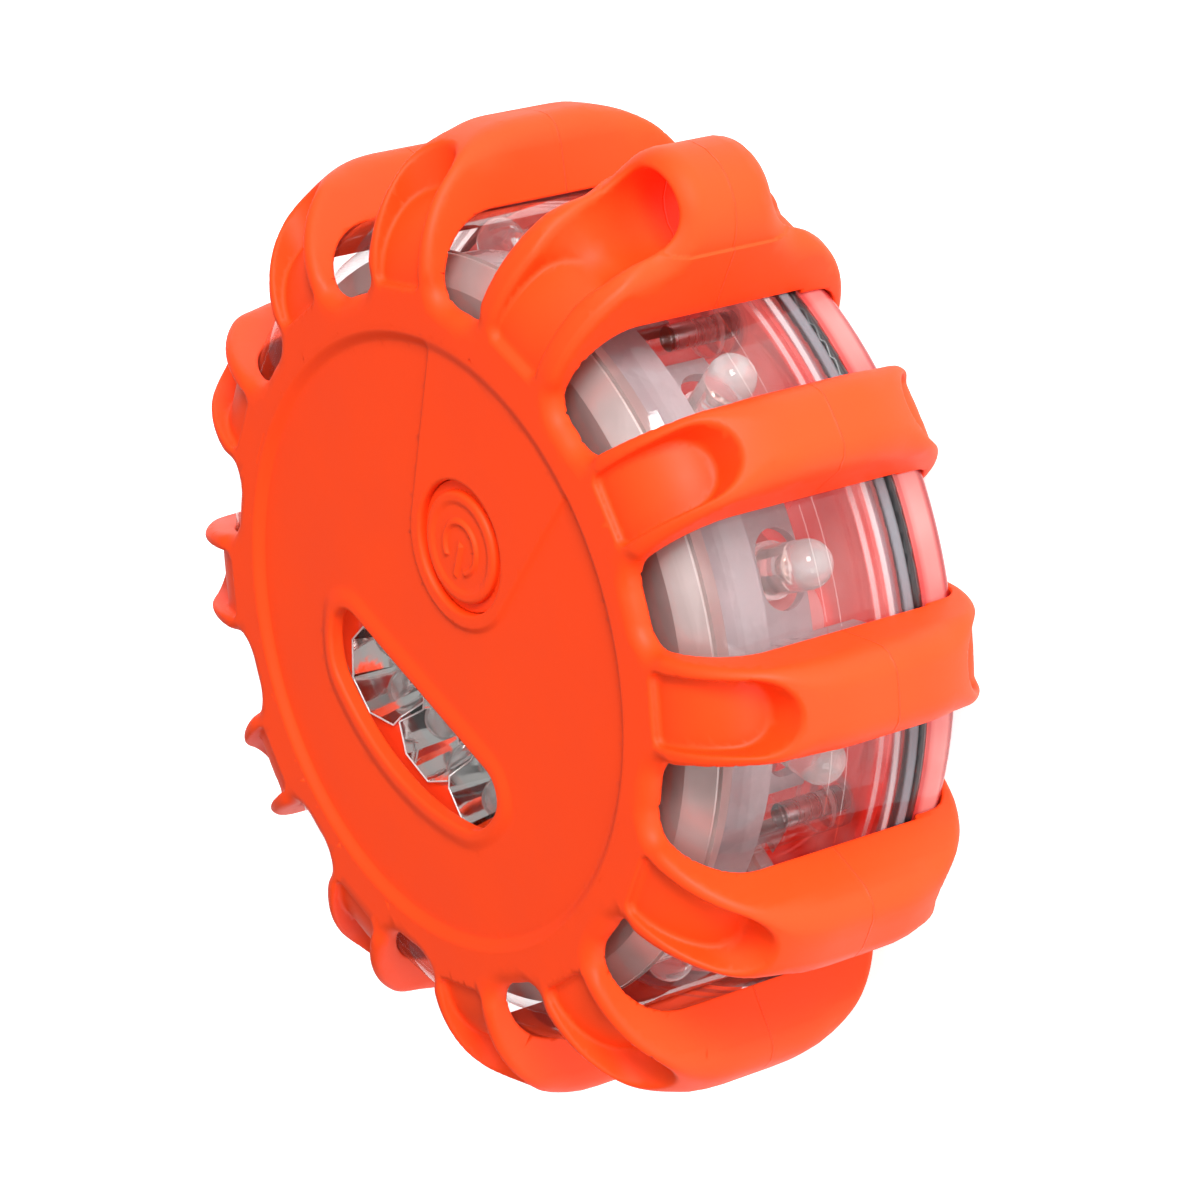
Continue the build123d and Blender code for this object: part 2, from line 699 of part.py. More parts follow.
# ---- batteries, tray, contacts and wires -----------------------------------------------------------------
with BuildPart() as battery_tray:
    with BuildSketch(Plane.XY.offset(tray_bottom)):
        RectangleRounded(2 * tray_half_x, 2 * tray_half_y, tray_corner - 0.1)
    extrude(amount=tray_top - tray_bottom)
    with BuildSketch(Plane.XY.offset(tray_bottom)):
        RectangleRounded(2 * (tray_half_x - tray_wall), 2 * (tray_half_y - tray_wall), tray_inner_corner)
    extrude(amount=tray_top - tray_bottom - 1.2, mode=Mode.SUBTRACT)
battery_tray.part.label = "battery_tray"
export_step(battery_tray.part, "parts/battery_tray.step")

cell_y = [cell_pitch * k for k in (-1, 0, 1)]
cell_back = cell_x - cell_len / 2
for number, y in enumerate(cell_y, start=1):
    with BuildPart() as battery_cell:
        with BuildSketch(Plane.YZ.offset(cell_back)):
            with Locations((y, cell_z)):
                Circle(cell_r)
        extrude(amount=cell_len - 1.0)
        with BuildSketch(Plane.YZ.offset(cell_back + cell_len - 1.0)):
            with Locations((y, cell_z)):
                Circle(1.9)
        extrude(amount=1.0)
    battery_cell.part.label = f"battery_cell_{number}"
    export_step(battery_cell.part, f"parts/battery_cell_{number}.step")

contact_x = tray_half_x - tray_wall - 0.05
with BuildPart() as contact_leaves:
    # bent spring leaves at the negative ends
    for y in cell_y:
        with BuildSketch(Plane.XY.offset(cell_z - 3)):
            with Locations((-contact_x + 0.15, y)):
                Rectangle(0.3, 7.0)
            Polygon(
                (-contact_x + 0.2, y - 3.5), (cell_back - 0.05, y - 0.6), (cell_back - 0.05, y + 0.6),
                (-contact_x + 0.2, y + 3.5), (-contact_x + 0.2, y + 3.1), (cell_back - 0.4, y),
                (-contact_x + 0.2, y - 3.1), align=None,
            )
        extrude(amount=6)
contact_leaves.part.label = "contact_leaves"
export_step(contact_leaves.part, "parts/contact_leaves.step")

with BuildPart() as contact_plates:
    for y in cell_y:
        with BuildSketch(Plane.XY.offset(cell_z - 3)):
            with Locations((contact_x - 0.2, y)):
                Rectangle(0.35, 7.0)
        extrude(amount=6)
contact_plates.part.label = "contact_plates"
export_step(contact_plates.part, "parts/contact_plates.step")

wire_ends = {"battery_wire_red": (20.0, 10.7), "battery_wire_black": (-20.0, -10.7)}
for wire_name, (x, y) in wire_ends.items():
    with BuildPart() as battery_wire:
        with BuildSketch(Plane.XY.offset(tray_top + 0.05)):
            with Locations((x, y)):
                Circle(0.6)
        extrude(amount=board_bottom - tray_top - 0.1)
    battery_wire.part.label = wire_name
    export_step(battery_wire.part, f"parts/{wire_name}.step")

# ---- battery door with magnet retainer and hook ears ---------------------------------------------------
with BuildPart() as battery_door:
    with BuildSketch(Plane.XY.offset(door_outer_z)):
        Circle(door_r)
    extrude(amount=door_inner_z - door_outer_z)
    with BuildSketch(Plane.XY.offset(0.6)):
        Circle(magnet_cup_r + 1.9)
    extrude(amount=door_outer_z - 0.6)
    with BuildSketch(Plane.XY):
        Circle(magnet_cup_r + 0.05)
    extrude(amount=magnet_cup_top + 0.05, mode=Mode.SUBTRACT)
    for side in (-1, 1):
        with BuildSketch(Plane.YZ.offset(side * ear_x[0])):
            with Locations((hook_pivot_y, hook_pivot_z)):
                Circle(ear_half - 0.4)
            with Locations((hook_pivot_y, (hook_pivot_z + door_outer_z) / 2)):
                Rectangle(2 * (ear_half - 0.4), door_outer_z - hook_pivot_z)
        extrude(amount=side * (ear_x[1] - ear_x[0]))
        with BuildSketch(Plane.YZ.offset(side * (ear_x[0] - 0.5))):
            with Locations((hook_pivot_y, hook_pivot_z)):
                Circle(ear_hole_r)
        extrude(amount=side * 4, mode=Mode.SUBTRACT)
    with BuildSketch(Plane.XY.offset(door_outer_z)):
        with GridLocations(2 * door_screw[0], 2 * door_screw[1], 2, 2):
            Circle(1.5)
    extrude(amount=2, mode=Mode.SUBTRACT)
    with BuildSketch(Plane.XY.offset(door_outer_z)):
        with GridLocations(2 * door_screw[0], 2 * door_screw[1], 2, 2):
            Circle(2.5)
    extrude(amount=1.1, mode=Mode.SUBTRACT)
battery_door.part.label = "battery_door"
export_step(battery_door.part, "parts/battery_door.step")

with BuildPart() as door_screws:
    with BuildSketch(Plane.XY.offset(door_outer_z + 0.1)):
        with GridLocations(2 * door_screw[0], 2 * door_screw[1], 2, 2):
            Circle(2.3)
    extrude(amount=0.95)
    with BuildSketch(Plane.XY.offset(door_outer_z + 1.05)):
        with GridLocations(2 * door_screw[0], 2 * door_screw[1], 2, 2):
            Circle(1.25)
    extrude(amount=8)
    with BuildSketch(Plane.XY.offset(door_outer_z + 0.1)):
        with GridLocations(2 * door_screw[0], 2 * door_screw[1], 2, 2):
            Rectangle(2.6, 0.6)
            Rectangle(0.6, 2.6)
    extrude(amount=0.6, mode=Mode.SUBTRACT)
door_screws.part.label = "door_screws"
export_step(door_screws.part, "parts/door_screws.step")

with BuildPart() as door_gasket:
    with BuildSketch(Plane.XY.offset(door_inner_z + 0.03)):
        Circle(door_r - 0.4)
        Circle(door_r - 1.7, mode=Mode.SUBTRACT)
    extrude(amount=door_seat - door_inner_z - 0.08)
door_gasket.part.label = "door_gasket"
export_step(door_gasket.part, "parts/door_gasket.step")

with BuildPart() as door_pad:
    # foam pad that keeps the cells from rattling
    with BuildSketch(Plane.XY.offset(door_inner_z + 0.03)):
        RectangleRounded(30, 26, 2)
    extrude(amount=0.85)
door_pad.part.label = "door_pad"
export_step(door_pad.part, "parts/door_pad.step")

with BuildPart() as magnet_cup:
    with BuildSketch(Plane.XY):
        Circle(magnet_cup_r)
    extrude(amount=magnet_cup_top)
    with BuildSketch(Plane.XY):
        Circle(magnet_cup_r - 1.5)
    extrude(amount=magnet_cup_top - 1.3, mode=Mode.SUBTRACT)
magnet_cup.part.label = "magnet_cup"
export_step(magnet_cup.part, "parts/magnet_cup.step")

with BuildPart() as magnet_disc:
    with BuildSketch(Plane.XY):
        Circle(magnet_cup_r - 1.55)
    extrude(amount=magnet_cup_top - 1.35)
magnet_disc.part.label = "magnet_disc"
export_step(magnet_disc.part, "parts/magnet_disc.step")

# ---- fold-out wire hook -----------------------------------------------------------------------------------
with BuildPart() as wire_hook:
    with BuildLine(Plane.XY.offset(hook_pivot_z)) as hook_route:
        FilletPolyline(
            (hook_pin_x, hook_pivot_y), (hook_half, hook_pivot_y), (hook_half, hook_bend_y),
            radius=hook_bend_fillet,
        )
        ThreePointArc((hook_half, hook_bend_y), (0, hook_bend_y - hook_half), (-hook_half, hook_bend_y))
        FilletPolyline(
            (-hook_half, hook_bend_y), (-hook_half, hook_pivot_y), (-hook_pin_x, hook_pivot_y),
            radius=hook_bend_fillet,
        )
    with BuildSketch(Plane.YZ.offset(hook_pin_x)):
        with Locations((hook_pivot_y, hook_pivot_z)):
            Circle(hook_wire_r)
    sweep(path=hook_route.wire())
wire_hook.part.label = "wire_hook"
export_step(wire_hook.part, "parts/wire_hook.step")
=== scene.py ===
import json
import math

import bmesh
import bpy
import numpy as np
import openvdb
from mathutils import Matrix, Vector


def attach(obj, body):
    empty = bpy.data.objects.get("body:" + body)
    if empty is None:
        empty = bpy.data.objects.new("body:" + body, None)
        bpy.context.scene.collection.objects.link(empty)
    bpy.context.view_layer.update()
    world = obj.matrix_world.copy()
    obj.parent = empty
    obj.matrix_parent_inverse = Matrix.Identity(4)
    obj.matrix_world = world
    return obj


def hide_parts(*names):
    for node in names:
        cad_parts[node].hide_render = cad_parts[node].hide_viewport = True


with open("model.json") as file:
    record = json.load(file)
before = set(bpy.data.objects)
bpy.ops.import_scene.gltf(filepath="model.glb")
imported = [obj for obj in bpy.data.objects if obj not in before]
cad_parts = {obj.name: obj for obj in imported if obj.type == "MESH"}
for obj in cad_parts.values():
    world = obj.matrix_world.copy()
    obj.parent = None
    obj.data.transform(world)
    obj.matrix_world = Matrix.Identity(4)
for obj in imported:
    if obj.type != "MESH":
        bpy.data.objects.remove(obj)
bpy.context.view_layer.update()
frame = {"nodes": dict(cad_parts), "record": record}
nodes = frame["nodes"]
scene = bpy.context.scene
collection = scene.collection

# Shapes below are in millimetres in the frame of the part; meshes are made in metres.
MM = 0.001

# ---- camera -----------------------------------------------------------------------------------
camera_target = Vector((2.07, 1.90, 16.1)) * MM
camera_distance = 451.2 * MM
camera_azimuth = math.radians(48.30)
camera_elevation = math.radians(34.72)
camera_roll = math.radians(105.15)
camera_lens = 132.9
sensor_side = 36.0

back = Vector((
    math.cos(camera_elevation) * math.cos(camera_azimuth),
    math.cos(camera_elevation) * math.sin(camera_azimuth),
    math.sin(camera_elevation),
))
level_up = (Vector((0, 0, 1)) - back * back.z).normalized()
level_right = level_up.cross(back)
up = level_up * math.cos(camera_roll) + level_right * math.sin(camera_roll)
right = up.cross(back)
camera_data = bpy.data.cameras.new("camera")
camera_data.lens = camera_lens
camera_data.sensor_width = sensor_side
camera_data.sensor_height = sensor_side
camera_data.clip_start = 0.02
camera_data.clip_end = 20.0
camera = bpy.data.objects.new("camera", camera_data)
collection.objects.link(camera)
turn = Matrix((right, up, back)).transposed().to_4x4()
camera.matrix_world = Matrix.Translation(camera_target + back * camera_distance) @ turn
scene.camera = camera

# ---- dimensions of the part -------------------------------------------------------------------
# rubber cover
height = 35.7
mid_z = height / 2
ring_r = 35.4
rib_count = 12
rib_pitch = 2 * math.pi / rib_count
window_angles = [math.radians(75 - 30 * k) for k in range(rib_count)]
shoulder_points = ((38.1, mid_z), (47.0, mid_z - 4.2), (51.0, mid_z - 13.0))
rib_start_r = 32.1
rib_end_r = 51.0
rib_half = (5.7, 4.3)
eye_rib_half = (6.2, 6.9)
eye_hole_r = 4.6
eye_hole_y = 50.2
eye_outer_r = 6.5
eye_outer_y = 50.2
eye_half_height = 5.7
pocket_half = 3.6
pocket_inner_r = 36.3
pocket_tip_depth = 7.6
pocket_floor_r = 45.0
pocket_floors = ((0.9, 8.5), (0.95, 3.8))  # floor depth and rounding, front and rear pockets

# lens and housing
lens_r = 43.2
lens_top = height - 2.3
lens_arc = 6.7
lens_plate = 1.8
lens_seam_z = 17.5
housing_r = 42.7
housing_rear_z = 1.7
housing_corner = 3.2
housing_top = 6.9
rear_ring_inner_r = 31.5

# front face: recess, button panel and torch opening
recess_r = 30.8
recess_depth = 0.8
panel_depth = 0.42
panel_r = 8.4
panel_side = (12.1, 28.5)
button_y = 12.4
button_hole_r = 6.8
torch_top_y = -6.7
torch_half = 15.3
torch_arc_y = 9.7
torch_arc_r = 27.5
torch_corner = 3.1

# LEDs
led_z = 15.9
led_base_r = 31.1
led_length = 9.1
torch_led_length = 7.1
board_top = 21.7

# power button and its on/off mark
recess_z = height - recess_depth
button_top = recess_z + 0.35
button_cap_r = 5.7
button_skirt_r = 6.7
button_flange_r = 7.8
skirt_top = recess_z - 0.5
flange_top = lens_top - lens_plate - 0.35
flange_bottom = flange_top - 0.9
button_cap_round = 0.45
button_flange_blend = 0.3
button_dish = 0.24
button_dish_edge = (4.2, 4.9)
mark_r = 2.6
mark_line = 0.26
mark_height = 0.3
mark_edge = (-0.16, 0.22)
mark_limit_r = 4.4
mark_bar_y = -1.45
mark_bar_half = 1.75
mark_lean = 0.12

# reflector skirt and torch cups
skirt_profile = (  # radius and height
    (32.2, 30.9), (32.2, 31.4), (35.9, 31.4), (36.5, 31.1), (38.7, 29.75), (38.75, 29.6),
    (38.45, 29.5), (38.45, 29.3), (38.9, 29.2), (37.7, 27.0), (36.5, 26.9), (36.5, 27.4),
    (37.6, 29.1), (35.4, 30.9), (32.2, 30.9),
)
skirt_steps = 144
torch_pitch = 9.3
torch_places = [(-torch_pitch, -12.9), (0, -13.2), (torch_pitch, -12.9)]
reflector_top = lens_top - 1.25
cup_sides = 8
cup_rows = 10
cup_turn = 0.35
cup_hole_r = 2.95
cup_rim_r = 5.55
cup_floor_z = board_top + 2.4
rim_wire = 0.1

# joins of the cover's two meshes, and its gap
face_low = lens_top - 0.6
seam_r = 32.3  # the face disc inside this radius is meshed more finely than the ring and ribs
seam_overlap = 0.4
seam_sink = 0.015  # the disc lies this much lower where the ring covers it
seam_sink_fade = (seam_r - 0.5, seam_r - 0.3)
fit_gap = 0.035  # between the rubber and what it covers

# roundings and blends of the rubber
rib_root_blend = 2.2
eye_arch_blend = 3.2
eye_hole_blend = 2.2
edge_round = 0.9
inner_edge_round = 0.9  # added on the ring, between the radii below
inner_edge_fade = (36.0, 39.0)
side_edge_round = 1.6  # added on the ribs, between the depths below
side_edge_fade = (5.0, 10.0)
pocket_end_round = 1.0
pocket_floor_round = 0.5
pocket_lip_round = 0.42
eye_lip_round = 0.8
cavity_round = 0.35
torch_edge_round = 0.45
button_edge_round = 0.3
panel_fade = 0.35
torch_lip = 0.4
torch_lip_fade = (0.9, 2.6)
recess_fade = (-0.3, 1.1)
slope_share = 0.9  # keeps the field of the front face no steeper than a distance

# smallest and largest corners of the boxes that are meshed, and the cell size
cover_box = ((0, -52.5, -0.6), (52.5, 58.0, 36.6))
face_box = ((0, -32.8, 31.8), (32.8, 32.8, 36.2))
cover_cell = 0.26
face_cell = cover_cell * 0.62
button_cell = 0.13
button_reach = 8.4


# ---- field helpers ------------------------------------------------------------------------------
def round_or(a, b, r):
    """Either shape, with a fillet of radius r where they meet."""
    return np.maximum(r, np.minimum(a, b)) - np.hypot(np.maximum(r - a, 0), np.maximum(r - b, 0))


def round_and(a, b, r):
    """Where both shapes are, with edges rounded to radius r."""
    return np.minimum(-r, np.maximum(a, b)) + np.hypot(np.maximum(r + a, 0), np.maximum(r + b, 0))


def fade(x, start, end):
    """0 up to start, 1 from end on, smooth between."""
    t = np.clip((x - start) / (end - start), 0, 1)
    return t * t * (3 - 2 * t)


def circle_through(a, b, c):
    """Centre and radius of the circle through three points."""
    m = np.array([[b[0] - a[0], b[1] - a[1]], [c[0] - b[0], c[1] - b[1]]])
    k = np.array([
        (b[0] ** 2 + b[1] ** 2 - a[0] ** 2 - a[1] ** 2) / 2,
        (c[0] ** 2 + c[1] ** 2 - b[0] ** 2 - b[1] ** 2) / 2,
    ])
    centre = np.linalg.solve(m, k)
    return centre[0], centre[1], math.hypot(a[0] - centre[0], a[1] - centre[1])


shoulder = circle_through(*shoulder_points)
side_dx = panel_side[0]
side_dy = panel_side[1] - button_y
panel_turn = math.atan2(side_dy, side_dx) - math.acos(panel_r / math.hypot(side_dx, side_dy))
panel_normal = (math.cos(panel_turn), math.sin(panel_turn))


def torch_field(x, y):
    """Distance to the D-shaped torch opening, negative inside."""
    corners = round_and(y - torch_top_y, np.abs(x) - torch_half, torch_corner)
    return round_and(corners, np.hypot(x, y - torch_arc_y) - torch_arc_r, torch_corner)


def panel_field(x, y):
    """Distance to the outline of the wedge-shaped button panel, negative inside."""
    ax = np.abs(x)
    dy = y - button_y
    line = ax * panel_normal[0] + dy * panel_normal[1] - panel_r
    past = -ax * panel_normal[1] + dy * panel_normal[0]
    return np.where(past > 0, line, np.hypot(x, dy) - panel_r)


def front_height(x, y, r):
    """Height of the front surface: recess, button panel and torch lip."""
    floor = height - recess_depth
    floor = floor + (recess_depth - panel_depth) * (1 - fade(panel_field(x, y), -panel_fade, panel_fade))
    floor = floor + torch_lip * (1 - fade(torch_field(x, y), *torch_lip_fade))
    return floor + (height - floor) * fade(r, recess_r + recess_fade[0], recess_r + recess_fade[1])


def cover_field(x, y, z):
    """Signed distance to the rubber cover, in millimetres."""
    r = np.hypot(x, y)
    turn = np.arctan2(x, y)
    sector = np.round(turn / rib_pitch)
    local = turn - sector * rib_pitch
    u = r * np.cos(local)
    v = np.abs(r * np.sin(local))
    eye = sector == 0
    h = np.abs(z - mid_z)
    depth = mid_z - h
    # plan: face ring with twelve ribs
    along = (u - rib_start_r) / (rib_end_r - rib_start_r)
    half = np.where(
        eye,
        eye_rib_half[0] + (eye_rib_half[1] - eye_rib_half[0]) * along,
        rib_half[0] + (rib_half[1] - rib_half[0]) * along,
    )
    rib = v - half
    rib = np.where(eye & (u > eye_outer_y), np.hypot(v, u - eye_outer_y) - eye_outer_r, rib)
    body = round_or(r - ring_r, rib, rib_root_blend)
    # shoulders and faces; the arch of the hanging eye stands out of its rib
    cr, ch, cap = shoulder
    shell = np.hypot(np.maximum(r - cr, 0), np.maximum(h - ch, 0)) - cap
    shell = np.where(eye, round_or(shell, h - eye_half_height, eye_arch_blend), shell)
    shell = np.maximum(shell, h - mid_z)
    edge = edge_round + inner_edge_round * (1 - fade(r, *inner_edge_fade))
    edge = edge + side_edge_round * fade(depth, *side_edge_fade)
    body = round_and(body, shell, edge)
    # thumb pockets on both shoulders
    pocket = np.hypot(v, np.maximum(depth - pocket_tip_depth + pocket_half, 0)) - pocket_half
    pocket = round_and(pocket, pocket_inner_r - u, pocket_end_round)
    (front_depth, front_arc), (rear_depth, rear_arc) = pocket_floors
    front_floor = round_and(r - pocket_floor_r, h - mid_z + front_depth, front_arc)
    rear_floor = round_and(r - pocket_floor_r, h - mid_z + rear_depth, rear_arc)
    pocket = round_and(pocket, -np.where(z > mid_z, front_floor, rear_floor), pocket_floor_round)
    hole = np.hypot(v, u - eye_hole_y) - eye_hole_r
    pocket = np.where(eye, round_or(pocket, hole, eye_hole_blend), pocket)
    body = round_and(body, -pocket, np.where(eye, eye_lip_round, pocket_lip_round))
    # cavity for lens and housing, open at the back
    lens = round_and(r - lens_r - fit_gap, z - lens_top - fit_gap, lens_arc)
    lens = np.maximum(lens, housing_top - z)
    dish = round_and(r - housing_r - fit_gap, housing_rear_z - fit_gap - z, housing_corner)
    dish = np.maximum(dish, z - mid_z)
    rear = np.maximum(r - rear_ring_inner_r, z - mid_z)
    cavity = np.minimum(np.minimum(lens, dish), rear)
    body = round_and(body, -cavity, cavity_round)
    # front face
    body = np.maximum(body, (z - front_height(x, y, r)) * slope_share)
    opening = np.maximum(torch_field(x, y), face_low - z)
    body = round_and(body, -opening, torch_edge_round)
    button = np.maximum(np.hypot(x, y - button_y) - button_hole_r, face_low - z)
    return round_and(body, -button, button_edge_round)


def ring_field(x, y, z):
    """The cover without its face disc."""
    return np.maximum(cover_field(x, y, z), np.minimum(seam_r - seam_overlap - np.hypot(x, y), z - mid_z))


def face_field(x, y, z):
    """The face disc, a hair lower where the ring covers it."""
    r = np.hypot(x, y)
    under = seam_sink * fade(r, *seam_sink_fade)
    return np.maximum(cover_field(x, y, z + under), np.maximum(r - seam_r, face_low - z))


def mesh_from_field(name, field, low, high, cell, adaptivity, mirror_x=False, smooth_field=None):
    """Mesh of field == 0 in a box, its points moved onto the exact surface, with the field's own normals."""
    block = 8
    low = np.array(low, float)
    counts = np.ceil((np.array(high, float) - low) / (cell * block)).astype(int)
    size = cell * block
    centres = np.meshgrid(*[low[a] + (np.arange(counts[a]) + 0.5) * size - cell / 2 for a in range(3)],
                          indexing="ij")
    coarse = field(*centres)
    band = 3 * cell
    reach = size * math.sqrt(3) / 2 * 1.35 + band
    volume = np.repeat(np.repeat(np.repeat(
        np.clip(coarse, -band, band).astype(np.float32), block, 0), block, 1), block, 2)
    near = np.argwhere(np.abs(coarse) < reach)
    step = np.arange(block)
    for start in range(0, len(near), 1500):
        part = near[start:start + 1500]
        index = [part[:, a, None] * block + step for a in range(3)]
        ix = index[0][:, :, None, None]
        iy = index[1][:, None, :, None]
        iz = index[2][:, None, None, :]
        shape = (len(part), block, block, block)
        px = np.broadcast_to(low[0] + ix * cell, shape)
        py = np.broadcast_to(low[1] + iy * cell, shape)
        pz = np.broadcast_to(low[2] + iz * cell, shape)
        volume[ix, iy, iz] = np.clip(field(px, py, pz), -band, band)
    if mirror_x:
        volume = np.concatenate([volume[:0:-1], volume])
        low[0] -= (counts[0] * block - 1) * cell
    grid = openvdb.FloatGrid(band)
    grid.copyFromArray(volume, tolerance=1e-5)
    points, triangles, quads = grid.convertToPolygons(isovalue=0.0, adaptivity=adaptivity)
    points = low + points.astype(float) * cell

    def slope(p, step=0.04, field=field):
        g = np.empty_like(p)
        for a in range(3):
            off = np.zeros(3)
            off[a] = step
            g[:, a] = (field(*(p + off).T) - field(*(p - off).T)) / (2 * step)
        return g

    for _ in range(2):
        g = slope(points)
        move = -field(*points.T)[:, None] * g / np.maximum((g * g).sum(1), 0.2)[:, None]
        long = np.linalg.norm(move, axis=1, keepdims=True)
        points += move * np.minimum(1, 0.5 * cell / np.maximum(long, 1e-9))
    normals = slope(points, 0.06)
    if smooth_field:
        uncut = np.abs(smooth_field(*points.T)) < 0.03
        normals[uncut] = slope(points[uncut], 0.06, smooth_field)
    normals /= np.maximum(np.linalg.norm(normals, axis=1, keepdims=True), 1e-9)
    faces = quads.tolist() + triangles.tolist()
    data = bpy.data.meshes.new(name)
    data.from_pydata((points * MM).tolist(), [], faces)
    data.validate()
    for polygon in data.polygons:
        polygon.use_smooth = True
    if len(data.vertices) == len(normals):
        data.normals_split_custom_set_from_vertices(normals.tolist())
    print("FIELD MESH", name, len(data.vertices), len(data.polygons))
    made = bpy.data.objects.new(name, data)
    collection.objects.link(made)
    return made


# ---- materials ----------------------------------------------------------------------------------
# noise scales are per metre; bump distances are in metres
wear_scale = 60.0  # broad changes of colour and gloss
scuff_scale = 220.0  # the same on clear plastic
deep_scale = 62.0  # deeper and paler places of the red housing
deep_range = (-0.3, 1.3)
epoxy_scale = 900.0
grain_bump = 0.35
seam_bump = 0.8
seam_bump_height = 0.00012
seam_half = 0.16  # millimetres, on rubber
lens_seam_half = 0.09  # millimetres, on the lens
lens_seam_shine = 0.25
translucency = 0.45
gloss_power = 5.0  # how fast the gloss of clear plastic rises towards grazing angles
gloss_edge = 0.75
gloss_flat = 0.035
epoxy_haze = 0.23
epoxy_bump = 0.15
epoxy_bump_height = 0.00005
# coloured rings painted round the part: height, half width, colour and strength
# on the clear lens the rings are painted reflections: a white strip and a blue-grey band near the O-ring
lens_reflection_bands = ((11.2, 0.45, (0.92, 0.88, 0.89), 0.3), (9.1, 0.7, (0.30, 0.33, 0.37), 0.5))
# on the red housing: a pale pink band that lightens the rim, in part a painted highlight; a dark red line
# near the rear edge; a thin dark red line just under the cover
housing_bands = (
    (4.9, 1.7, (1.0, 0.62, 0.58), 0.2),
    (2.6, 1.6, (0.22, 0.005, 0.01), 0.85),
    (6.6, 0.3, (0.45, 0.05, 0.05), 0.5),
)


def new_material(name):
    material = bpy.data.materials.new(name)
    material.use_nodes = True
    tree = material.node_tree
    shader = tree.nodes["Principled BSDF"]
    return material, tree, shader


def add_node(tree, kind, **values):
    """A shader node; each value sets an input or a property of that name."""
    node = tree.nodes.new(kind)
    for key, value in values.items():
        if key in node.inputs:
            node.inputs[key].default_value = value
        else:
            setattr(node, key, value)
    return node


def calc(tree, operation, a, b):
    """Math node; a and b are numbers or output sockets."""
    node = tree.nodes.new("ShaderNodeMath")
    node.operation = operation
    for socket, value in zip(node.inputs, (a, b)):
        if isinstance(value, (int, float)):
            socket.default_value = value
        else:
            tree.links.new(value, socket)
    return node.outputs[0]


def noise(tree, scale, detail=3.0, stretch=(1, 1, 1)):
    """Noise over the part's own coordinates; stretch scales them, so above 1 packs it tighter."""
    place = tree.nodes.new("ShaderNodeTexCoord")
    mapping = add_node(tree, "ShaderNodeMapping", Scale=stretch)
    cloud = add_node(tree, "ShaderNodeTexNoise", Scale=scale, Detail=detail, Roughness=0.6)
    tree.links.new(place.outputs["Object"], mapping.inputs["Vector"])
    tree.links.new(mapping.outputs["Vector"], cloud.inputs["Vector"])
    return cloud.outputs["Fac"]


def spread(tree, value, low, high):
    """Noise drawn out to run from low to high."""
    node = add_node(tree, "ShaderNodeMapRange")
    node.inputs["From Min"].default_value = 0.3
    node.inputs["From Max"].default_value = 0.7
    node.inputs["To Min"].default_value = low
    node.inputs["To Max"].default_value = high
    tree.links.new(value, node.inputs["Value"])
    return node.outputs["Result"]


def tinted(tree, value, colour, change):
    """The colour, a share darker or lighter with the noise."""
    ramp = add_node(tree, "ShaderNodeValToRGB")
    ramp.color_ramp.elements[0].position = 0.3
    ramp.color_ramp.elements[0].color = [c * (1 - change) for c in colour] + [1]
    ramp.color_ramp.elements[1].position = 0.72
    ramp.color_ramp.elements[1].color = [min(1, c * (1 + change)) for c in colour] + [1]
    tree.links.new(value, ramp.inputs["Fac"])
    return ramp.outputs["Color"]


def height_line(tree, z, half):
    """1 on a thin line round the part at height z, in millimetres, 0 away from it."""
    place = tree.nodes.new("ShaderNodeTexCoord")
    split = tree.nodes.new("ShaderNodeSeparateXYZ")
    tree.links.new(place.outputs["Object"], split.inputs["Vector"])
    away = calc(tree, "ABSOLUTE", calc(tree, "SUBTRACT", split.outputs["Z"], z * MM), 0.0)
    return calc(tree, "MAXIMUM", calc(tree, "SUBTRACT", 1.0, calc(tree, "DIVIDE", away, half * MM)), 0.0)


def make_solid(name, colour, rough, metal=0.0, change=0.06, grain=2600.0, pebble=0.00003,
               stretch=(1, 1, 1), specular=0.5, seam=None, glow=0.0):
    """An opaque surface with uneven colour, uneven gloss and a fine grain."""
    material, tree, shader = new_material(name)
    link = tree.links.new
    cloud = noise(tree, wear_scale, 4.0, stretch)
    fine = noise(tree, grain, 3.0, stretch)
    link(tinted(tree, cloud, colour, change), shader.inputs["Base Color"])
    link(spread(tree, cloud, rough * 0.85, rough * 1.15), shader.inputs["Roughness"])
    bump = add_node(tree, "ShaderNodeBump", Strength=grain_bump, Distance=pebble)
    link(fine, bump.inputs["Height"])
    if seam is not None:
        ridge = add_node(tree, "ShaderNodeBump", Strength=seam_bump, Distance=seam_bump_height)
        link(height_line(tree, seam, seam_half), ridge.inputs["Height"])
        link(bump.outputs["Normal"], ridge.inputs["Normal"])
        bump = ridge
    link(bump.outputs["Normal"], shader.inputs["Normal"])
    shader.inputs["Metallic"].default_value = metal
    shader.inputs["Specular IOR Level"].default_value = specular
    # glow is painted light: an emission standing in for light that soaks through from outside, not a lamp
    if glow:
        shader.inputs["Emission Color"].default_value = colour + (1,)
        shader.inputs["Emission Strength"].default_value = glow
    return material


